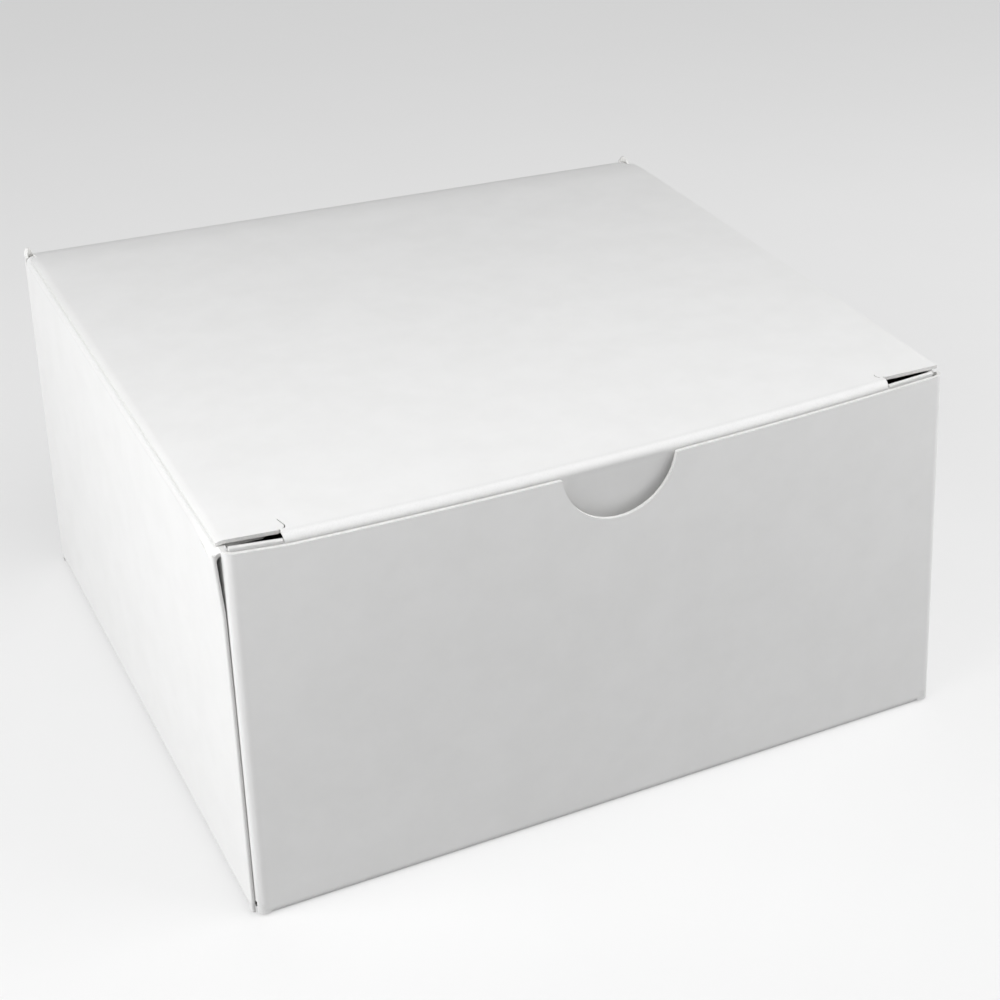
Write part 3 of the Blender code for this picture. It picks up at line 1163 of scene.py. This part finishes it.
@dataclass
class LidBoard:
    """Lid panel and its rolled hinge, with a hooked slit at each front corner."""

    plan: Plan
    board: Board
    soft_radius: float = 45.0 * MM
    soft_angle: float = 10.5
    joint: float = LID_JOINT
    ear_inner: float = 47.8 * MM
    ear_outer: tuple[float, float] = (47.3 * MM, 48.7 * MM)
    slit_ends: tuple[float, float] = SLIT_ENDS
    shoulder: float = 46.5 * MM
    hinge_half: float = HINGE_HALF
    hook_radius: float = 0.9 * MM
    hook_turn: float = 105.0
    hook_reach: tuple[float, float] = (1.4 * MM, 0.15 * MM)
    hook_width: float = 0.16 * MM
    droop: float = 0.27 * MM
    droop_reach: float = 1.2 * MM

    @classmethod
    def hinge_level(cls, plan: Plan, board: Board) -> float:
        """Level where the back wall ends and the hinge's roll starts."""
        lean = math.radians(cls.soft_angle)
        return (plan.top - board.flap_roll * math.cos(lean)
                - cls.soft_radius * (1 - math.cos(lean)))

    def hook(self, way: int) -> bpy.types.Object:
        """Bend the die's thin rule for the hook at a slit's inner end.

        Args:
            way: -1 for the left slit and 1 for the right one.

        Returns:
            A closed cutter that stands through the lid.
        """
        plan = self.plan
        low, high = plan.top - 1.5 * MM, plan.top + 1.0 * MM
        start = Vector((self.slit_ends[way > 0] + way * 0.1 * MM, -self.ear_inner, 0))
        rule = Sheet("hook_rule", Facing.FRONT, start + Vector((-0.1 * MM, 0, low)),
                     start + Vector((0.1 * MM, 0, high)))
        edge = start.x - way * 0.1 * MM
        centre = Vector((edge, self.hook_radius - self.ear_inner, 0))
        rule.roll(lambda p: near(p.x, edge), centre, Axis.Z, -way * self.hook_turn, 8,
                  self.hook_radius)
        turned, past = math.radians(self.hook_turn), math.radians(self.hook_turn - 90)
        tip = centre + self.hook_radius * Vector(
            (-way * math.sin(turned), -math.cos(turned), 0))
        heading = Vector((way * math.sin(past), math.cos(past), 0))
        rule.extend(lambda p: (Vector((p.x, p.y, 0)) - tip).length < SNAP,
                    heading * self.hook_reach[way > 0])
        rule.thicken(self.hook_width)
        return rule.piece

    def build(self) -> Sheet:
        """Model the lid.

        Returns:
            The finished sheet.
        """
        plan, board = self.plan, self.board
        roll, lean = board.flap_roll, math.radians(self.soft_angle)
        bend = plan.back - roll + roll * math.sin(lean) - (
            self.soft_radius * math.sin(lean))
        top = plan.top
        front = -max(self.ear_outer)
        sheet = Sheet("lid_board", Facing.UP, Vector((-plan.lid_side, front, top)),
                      Vector((plan.lid_side, bend, top)))
        sheet.roll(lambda p: near(p.y, bend), Vector((0, bend, top - self.soft_radius)),
                   Axis.X, -self.soft_angle, 4, 0.0)
        level = self.hinge_level(plan, board)
        end = bend + self.soft_radius * math.sin(lean)
        sheet.roll(lambda p: near(p.y, end), Vector((0, plan.back - roll, level)), Axis.X,
                   self.soft_angle - 90, board.roll_steps, roll)
        half = self.hinge_half
        left, right = self.slit_ends
        sheet.score(Axis.Y, [-self.joint, self.shoulder, bend - board.margin])
        sheet.score(Axis.Y, steps_between(-self.joint, bend - board.margin,
                                          board.mesh_pitch))
        reach = self.droop_reach
        sheet.score(Axis.X, [-half, half, left, right, reach / 4 - plan.lid_side,
                             reach / 2 - plan.lid_side, reach - plan.lid_side])
        sheet.score(Axis.X, steps_between(left, right, board.mesh_pitch))
        sheet.drop(lambda p: (p.y > self.shoulder and abs(p.x) > half)
                   or (p.y < -self.joint and left < p.x < right))
        for way, slit, outer in zip((-1, 1), self.slit_ends, self.ear_outer):
            slant = Vector((self.ear_inner - outer, way * slit - plan.lid_side, 0))
            sheet.trim(lambda p: p.x * way > slit * way and p.y < 0,
                       Vector((slit, -self.ear_inner, top)),
                       Vector((way * slant.x, slant.y, 0)).normalized())
        for way in (-1, 1):
            sheet.trim(lambda p: p.y < self.shoulder and p.y > 40 * MM,
                       Vector((way * (half + 0.45 * MM), self.shoulder, top)),
                       Vector((way, 0.7, 0)).normalized())
        sheet.face_towards(Vector((0, 0, top)), Vector((0, 0, 1)))
        sheet.thicken(board.thickness)
        for way, slit in zip((-1, 1), self.slit_ends):
            sheet.punch(self.hook(way), lambda p, slit=slit: (
                top - board.thickness + SNAP < p.z < top - SNAP
                and abs(p.x - slit) < 3 * MM and p.y > SNAP - self.ear_inner
                and p.y < 4 * MM - self.ear_inner))
        sheet.ease_edges(board.eased, lambda p: near(p.y, -self.joint)
                         or (near(p.z, level) and p.y > plan.back - 1 * MM))
        for vertex in sheet.piece.data.vertices:
            share = max(0.0, 1 - (vertex.co.x + plan.lid_side) / reach)
            vertex.co.z -= self.droop * share * share
        return sheet


@dataclass
class TuckFlap:
    """Tuck flap with its rolled fold, and an ear beside each slit."""

    plan: Plan
    board: Board
    roll: float = 1.0 * MM
    fold_line: float = 48.15 * MM
    joint: float = LID_JOINT
    lean: float = 6.9
    side: float = 50.6 * MM
    slit_ends: tuple[float, float] = SLIT_ENDS
    slit_gap: float = 0.12 * MM
    ear_inner: tuple[float, float] = (53.5 * MM, 53.4 * MM)
    ear_outer: tuple[float, float] = (54.0 * MM, 53.4 * MM)
    corner: float = 8.0 * MM

    def build(self) -> Sheet:
        """Model the flap.

        Returns:
            The finished sheet.
        """
        plan, board = self.plan, self.board
        level = plan.top - self.roll
        face = -self.fold_line - self.roll
        side = self.side
        left, right = self.slit_ends
        inners = (left - self.slit_gap, right + self.slit_gap)
        end = plan.tuck_end
        sheet = Sheet("tuck_board", Facing.FRONT, Vector((-side, face, end)),
                      Vector((side, face, max(self.ear_outer))))
        sheet.round_corners(lambda p: near(p.z, end), self.corner, 12)
        sheet.score(Axis.Z, [level, level - board.margin])
        sheet.score(Axis.Z, steps_between(end, level - board.margin, 4 * MM))
        sheet.score(Axis.X, [inners[0], left, right, inners[1]])
        sheet.score(Axis.X, steps_between(left, right, board.mesh_pitch))
        sheet.drop(lambda p: p.z > level and inners[0] < p.x < inners[1])
        for way, inner, low, high in zip((-1, 1), inners, self.ear_inner, self.ear_outer):
            slant = Vector((low - high, 0, side - way * inner)).normalized()
            sheet.trim(lambda p: p.x * way > inner * way and p.z > level,
                       Vector((way * side, face, high)), Vector((way * slant.x, 0, slant.z)))
        sheet.select(Element.FACE, lambda p: True)
        pivot = Vector((0, -self.fold_line, level))
        # With no window a rotation turns left-handed.
        bpy.ops.transform.rotate(value=-math.radians(self.lean), orient_axis="X",
                                 center_override=pivot)
        sheet.done()
        lean = math.radians(self.lean)
        rise = Vector((0, -math.cos(lean), -math.sin(lean))) * self.roll + pivot
        sheet.roll(lambda p: left - SNAP < p.x < right + SNAP and near(p.z, rise.z)
                   and near(p.y, rise.y), pivot, Axis.X, -90 - self.lean,
                   board.roll_steps, self.roll)
        sheet.extend(lambda p: near(p.z, plan.top) and near(p.y, -self.fold_line),
                     Vector((0, self.fold_line - self.joint, 0)))
        sheet.face_towards(Vector((0, face, level - 5 * MM)), Vector((0, -1, 0)))
        sheet.thicken(board.thickness)
        sheet.ease_edges(board.eased, lambda p: near(p.y, -self.joint))
        return sheet


@dataclass
class DustFlap:
    """A side flap folded in under the lid, with its rolled fold."""

    plan: Plan
    board: Board
    slant: float = 30.0
    step: float = 3.0 * MM
    grip: float = 5.0 * MM
    corner: float = 6.0 * MM
    back_end: float = 48.2 * MM
    shoulder: float = SIDE_SHOULDER
    shoulder_half: float = 50.35 * MM

    def build(self) -> Sheet:
        """Model the right-hand flap.

        Returns:
            The finished sheet.
        """
        plan, board = self.plan, self.board
        fold = plan.side - board.flap_roll
        top, inner, front = plan.dust_top, plan.dust_inner, plan.dust_front
        level = top - board.flap_roll
        sheet = Sheet("dust_board_right", Facing.UP, Vector((inner, -self.shoulder, top)),
                      Vector((fold, self.back_end, top)))
        lean = math.radians(self.slant)
        sheet.trim(None, Vector((fold, self.back_end, top)),
                   Vector((-math.sin(lean), math.cos(lean), 0)))
        grip = fold - self.grip
        sheet.score(Axis.Y, [front + self.step, front])
        sheet.score(Axis.X, [grip - self.step, self.shoulder_half])
        sheet.drop(lambda p: (p.y < front + self.step and p.x < grip - self.step)
                   or (p.y < front and p.x < self.shoulder_half))
        sheet.trim(lambda p: front < p.y < front + self.step and p.x < self.shoulder_half,
                   Vector((grip, front, top)), Vector((-1, -1, 0)).normalized())
        reach = self.back_end - (fold - inner) * math.tan(lean)
        sheet.round_corners(lambda p: near(p.x, inner) and (
            near(p.y, reach) or near(p.y, front + self.step)), self.corner, 10)
        sheet.roll(lambda p: near(p.x, fold), Vector((fold, 0, level)), Axis.Y, 90,
                   board.roll_steps, board.flap_roll)
        sheet.score(Axis.X, [fold - board.margin])
        sheet.score(Axis.X, steps_between(inner, fold - board.margin, board.mesh_pitch))
        sheet.score(Axis.Y, steps_between(front + self.step, self.back_end,
                                          board.mesh_pitch))
        sheet.face_towards(Vector((fold - 5 * MM, 0, top)), Vector((0, 0, 1)))
        sheet.thicken(board.thickness)
        sheet.ease_edges(board.eased, lambda p: near(p.z, level)
                         and p.x > plan.side - 1 * MM)
        return sheet


@dataclass
class LockingBase:
    """Pre-glued base: two main flaps whose tongues lock, over two side flaps."""

    plan: Plan
    board: Board
    half: float = 49.8 * MM
    gap: float = 0.15 * MM
    taper: float = 6.0 * MM
    tab_reach: float = 28.0 * MM
    tongue: tuple[float, float] = (2.0 * MM, 18.0 * MM)
    tongue_reach: float = 12.0 * MM
    tongue_root: float = 6.0 * MM
    tongue_level: float = 2.0 * MM
    tongue_cut: float = 3.0 * MM
    minor_end: float = 19.5 * MM
    minor_half: float = 48.2 * MM
    minor_taper: float = 9.0 * MM
    score_lift: float = 0.12 * MM

    def main_flap(self) -> Sheet:
        """Model the front main flap with its glued tab and its tongue.

        Returns:
            The finished sheet.
        """
        board = self.board
        start = self.plan.front + board.base_roll
        sheet = Sheet("base_flap_front", Facing.DOWN, Vector((-self.half, start, 0)),
                      Vector((self.half, -self.gap, 0)))
        run = -self.gap - start
        sheet.trim(None, Vector((self.half, start, 0)),
                   Vector((run, self.taper, 0)).normalized())
        tab_end = self.tab_reach - self.half
        tab_top = start + self.tab_reach
        sheet.score(Axis.X, [tab_end])
        sheet.score(Axis.Y, [tab_top])
        sheet.drop(lambda p: p.x < tab_end and p.y > tab_top)
        near_side, far_side = self.tongue
        sheet.score(Axis.X, [near_side, far_side])
        sheet.score(Axis.Y, [-self.tongue_root, -self.tongue_level])
        sheet.extend(lambda p: near(p.y, -self.gap)
                     and near_side - SNAP < p.x < far_side + SNAP,
                     Vector((0, self.tongue_reach + self.gap, 0)))
        sheet.round_corners(lambda p: near(p.y, self.tongue_reach), self.tongue_cut, 4)
        sheet.split(lambda p: (near(p.x, near_side) or near(p.x, far_side))
                    and -self.tongue_root - SNAP < p.y < SNAP - self.gap)
        sheet.shift(Element.FACE, lambda p: near_side < p.x < far_side
                    and p.y > -self.tongue_level, Vector((0, 0, board.layer)))
        crease = Vector((1, -1, 0)).normalized()
        line = Vector((-self.half, start, 0))
        on_tab = (lambda p: p.x < tab_end + SNAP and p.y < tab_top + SNAP)
        for shift in (-0.3, 0.0, 0.3):
            sheet.trim(on_tab, line + crease * shift * MM, crease, keep=True)
        sheet.shift(Element.VERTEX, lambda p: abs((p - line).dot(crease)) < SNAP
                    and p.x < tab_end + SNAP, Vector((0, 0, self.score_lift)))
        sheet.face_towards(Vector((10 * MM, start, 0)), Vector((0, 0, -1)))
        sheet.thicken(board.thickness)
        sheet.ease_edges(board.eased, lambda p: near(p.y, start))
        return sheet

    def side_flap(self) -> Sheet:
        """Model the left side flap, which lies on the tabs.

        Returns:
            The finished sheet.
        """
        board = self.board
        start = board.side_base_roll - self.plan.side
        level = board.layer
        sheet = Sheet("base_flap_left", Facing.DOWN, Vector((start, -self.minor_half, level)),
                      Vector((-self.minor_end, self.minor_half, level)))
        run = -self.minor_end - start
        for way in (-1, 1):
            sheet.trim(None, Vector((start, way * self.minor_half, level)),
                       Vector((self.minor_taper, way * run, 0)).normalized())
        free = self.minor_half - self.minor_taper
        sheet.round_corners(lambda p: near(p.x, -self.minor_end)
                            and near(abs(p.y), free), 3 * MM, 6)
        sheet.face_towards(Vector((start, 0, level)), Vector((0, 0, -1)))
        sheet.thicken(board.thickness)
        sheet.ease_edges(board.eased, lambda p: near(p.x, start))
        return sheet


@dataclass
class GlueFilm:
    """A dried film of carton glue, taken from its CAD node and fitted between sheets."""

    node: str
    thickness: float
    middle: float
    axis: Axis

    def build(self) -> bpy.types.Object:
        """Copy the node's shape, merge it and press it thin.

        Returns:
            The new film.
        """
        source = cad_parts[self.node]
        film = bpy.data.objects.new(f"{self.node}_film", source.data.copy())
        film.data.materials.clear()
        bpy.context.scene.collection.objects.link(film)
        low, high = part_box(self.node)
        index = list(Axis).index(self.axis)
        only(film)
        bpy.ops.object.mode_set(mode="EDIT")
        bpy.ops.mesh.select_all(action="SELECT")
        bpy.ops.mesh.remove_doubles(threshold=0.001 * MM)
        bpy.ops.mesh.dissolve_limited(angle_limit=math.radians(1))
        scale = [1.0, 1.0, 1.0]
        scale[index] = self.thickness / (high[index] - low[index])
        middle = (low + high) / 2
        bpy.ops.transform.resize(value=scale, center_override=middle)
        move = Vector((0, 0, 0))
        move[index] = self.middle - middle[index]
        bpy.ops.transform.translate(value=move)
        bpy.ops.object.mode_set(mode="OBJECT")
        return film


# Studio.


@dataclass(frozen=True)
class Lamp:
    """A soft box: where it stands, how wide it is, and how strong."""

    name: str
    place: tuple[float, float, float]
    width: float
    watts: float
    glossy: bool = True

    def hang(self, target: Vector) -> None:
        """Add the lamp, turned to a point."""
        data = bpy.data.lights.new(self.name, "AREA")
        data.shape = "SQUARE"
        data.size = self.width
        data.energy = self.watts
        lamp = bpy.data.objects.new(self.name, data)
        lamp.visible_camera = False
        lamp.visible_glossy = self.glossy
        lamp.location = self.place
        lamp.rotation_euler = (target - Vector(self.place)).to_track_quat("-Z", "Y").to_euler()
        bpy.context.scene.collection.objects.link(lamp)


@dataclass
class Studio:
    """Pale paper floor, a pale room and soft boxes."""

    floor_half: float = 6.0
    room: tuple[float, float, float] = (0.80, 0.80, 0.80)
    room_strength: float = 0.066
    seen_strength: float = 0.675
    lamps: tuple[Lamp, ...] = (
        Lamp("key_left", (-0.299, -0.073, 0.187), 0.30, 0.86),
        Lamp("edge_left", (-0.40, 0.05, 0.10), 0.20, 0.32),
        Lamp("fill_right", (0.334, -0.179, 0.243), 0.40, 1.36),
        Lamp("over_front", (0.0, -0.16, 0.30), 0.25, 0.40),
        Lamp("far_back", (0.30, 1.20, 0.04), 0.06, 4.5, glossy=False),
    )

    def build(self) -> None:
        """Lay the floor, light the room and hang the lamps."""
        bpy.ops.object.select_all(action="DESELECT")
        bpy.ops.mesh.primitive_plane_add(size=2 * self.floor_half)
        floor = bpy.context.object
        floor.name = "floor"
        floor.data.materials.append(StudioPaper().material())
        bpy.context.scene.world = self.walls()
        for lamp in self.lamps:
            lamp.hang(Vector((0, 0, 0.03)))

    def walls(self) -> bpy.types.World:
        """Paint the room, which the camera sees pale although it gives little light.

        Returns:
            The room's world.
        """
        world = bpy.data.worlds.new("room")
        world.use_nodes = True
        nodes, links = world.node_tree.nodes, world.node_tree.links
        background = nodes["Background"]
        background.inputs["Color"].default_value = (*self.room, 1.0)
        path = nodes.new("ShaderNodeLightPath")
        strength = nodes.new("ShaderNodeMapRange")
        strength.inputs["To Min"].default_value = self.room_strength
        strength.inputs["To Max"].default_value = self.seen_strength
        links.new(path.outputs["Is Camera Ray"], strength.inputs["Value"])
        links.new(strength.outputs["Result"], background.inputs["Strength"])
        return world


@dataclass(frozen=True)
class PhotoCamera:
    """The camera at the photograph's angle, for a square picture of 1000 pixels."""

    place: tuple[float, float, float] = (-101.66 * MM, -239.55 * MM, 167.51 * MM)
    turn: tuple[float, float, float] = (60.84, 1.055, -24.831)
    lens: float = 70.29
    sensor: float = 36.0

    def build(self) -> None:
        """Add the camera and make it the scene's own."""
        data = bpy.data.cameras.new("photo_camera")
        data.lens = self.lens
        data.sensor_width = self.sensor
        data.clip_start = 0.01
        camera = bpy.data.objects.new("photo_camera", data)
        camera.location = self.place
        camera.rotation_euler = [math.radians(a) for a in self.turn]
        bpy.context.scene.collection.objects.link(camera)
        bpy.context.scene.camera = camera


# Putting it together.


class Body(Enum):
    """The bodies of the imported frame."""

    CARTON = "carton"
    LID = "lid"
    TUCK = "tuck"
    DUST_LEFT = "dust_left"
    DUST_RIGHT = "dust_right"


@dataclass
class CartonDresser:
    """Builds every sheet, hangs the band, the base flaps and the glue on the carton's body,
    and settles the carton.
    """

    plan: Plan
    board: Board
    finishes: BoardFinishes
    glue: bpy.types.Material
    settling: Settling
    made: list[bpy.types.Object] = field(default_factory=list)

    def fix(self, sheet: Sheet, body: Body, nodes: tuple[str, ...]) -> None:
        """Hang a sheet on one body.

        Args:
            sheet: The finished sheet.
            body: The body it moves with.
            nodes: The CAD nodes that it stands for.
        """
        self.dress(sheet, nodes)
        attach(sheet.piece, body.value)

    def hinge(self, sheet: Sheet, bodies: tuple[Body, Body], start: Vector, end: Vector,
              nodes: tuple[str, ...]) -> None:
        """Hang a sheet across its own crease.

        Args:
            sheet: The finished sheet, still straight.
            bodies: The body before the crease and the one after it; not used.
            start: Where the crease would start to bend; not used.
            end: Where that bend would stop; not used.
            nodes: The CAD nodes that it stands for.
        """
        self.dress(sheet, nodes)
        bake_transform(sheet.piece)

    def dress(self, sheet: Sheet, nodes: tuple[str, ...]) -> None:
        """Give a sheet its finishes and its fold marks, hide the CAD nodes it stands for, and
        add it to the made pieces.
        """
        self.finishes.dress(sheet.piece)
        FoldWearAndShade.mark(sheet.piece, sheet.folds)
        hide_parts(*nodes)
        LOG.info("%s: %d faces", sheet.piece.name, len(sheet.piece.data.polygons))
        self.made.append(sheet.piece)

    def build(self) -> None:
        """Build the carton's sheets and glue."""
        plan, board = self.plan, self.board
        band = WallBand(plan, board).build()
        self.fix(band, Body.CARTON, ("front_panel", "back_panel", "left_panel",
                                     "right_panel", "glue_flap"))

        lid = LidBoard(plan, board).build()
        hinge = Vector((0, plan.back, LidBoard.hinge_level(plan, board)))
        self.hinge(lid, (Body.CARTON, Body.LID), hinge + Vector((0, -0.5, 0.05)) * MM,
                   hinge + Vector((0, -1.6, 1.55)) * MM, ("lid_panel", "lid_crease"))

        tuck = TuckFlap(plan, board)
        flap = tuck.build()
        crease = Vector((0, -tuck.fold_line, plan.top))
        self.hinge(flap, (Body.LID, Body.TUCK), crease + Vector((0, 0.1, -0.1)) * MM,
                   crease + Vector((0, -0.9, -1.3)) * MM, ("tuck_flap", "tuck_crease"))

        right = DustFlap(plan, board).build()
        left = right.copy("dust_board_left")
        SeamFlare().apply(left.piece, plan.side, plan.side - FLARE_FADE)
        for sheet, way, body in ((left, -1, Body.DUST_LEFT), (right, 1, Body.DUST_RIGHT)):
            side = body.value.removeprefix("dust_")
            fold = Vector((way * plan.side, 0, plan.dust_top - board.flap_roll))
            self.hinge(sheet, (Body.CARTON, body), fold + Vector((-way * 0.5, 0, 0.05)) * MM,
                       fold + Vector((-way * 1.5, 0, 1.2)) * MM,
                       (f"dust_flap_{side}", f"dust_crease_{side}"))

        base = LockingBase(plan, board)
        front_flap = base.main_flap()
        back_flap = front_flap.copy("base_flap_back", turn_half=True)
        left_flap = base.side_flap()
        right_flap = left_flap.copy("base_flap_right", turn_half=True)
        for sheet, nodes in (
                (front_flap, ("bottom_flap_front", "bottom_tab_front")),
                (back_flap, ("bottom_flap_back", "bottom_tab_back")),
                (left_flap, ("bottom_flap_left",)), (right_flap, ("bottom_flap_right",))):
            self.fix(sheet, Body.CARTON, nodes)

        level = board.thickness + 0.025 * MM
        for film in (GlueFilm("glue_line", 0.08 * MM, -51.46 * MM, Axis.X),
                     GlueFilm("bottom_glue_left", 0.05 * MM, level, Axis.Z),
                     GlueFilm("bottom_glue_right", 0.05 * MM, level, Axis.Z)):
            piece = film.build()
            piece.data.materials.append(self.glue)
            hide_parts(film.node)
            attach(piece, Body.CARTON.value)
            self.made.append(piece)

        cage = self.settling.build()
        for piece in self.made:
            self.settling.settle(piece, cage)
        bpy.data.objects.remove(cage)


def main() -> None:
    """Dress the carton, light it and set the camera."""
    logging.basicConfig(level=logging.INFO, format="%(name)s: %(message)s")
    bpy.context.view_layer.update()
    bpy.context.scene.view_settings.view_transform = "Standard"
    plan = Plan.from_frame()
    dresser = CartonDresser(plan, Board(), BoardFinishes.make(), DriedGlue().material(),
                            Settling(plan))
    dresser.build()
    Studio().build()
    PhotoCamera().build()


if __name__ == "__main__":
    main()
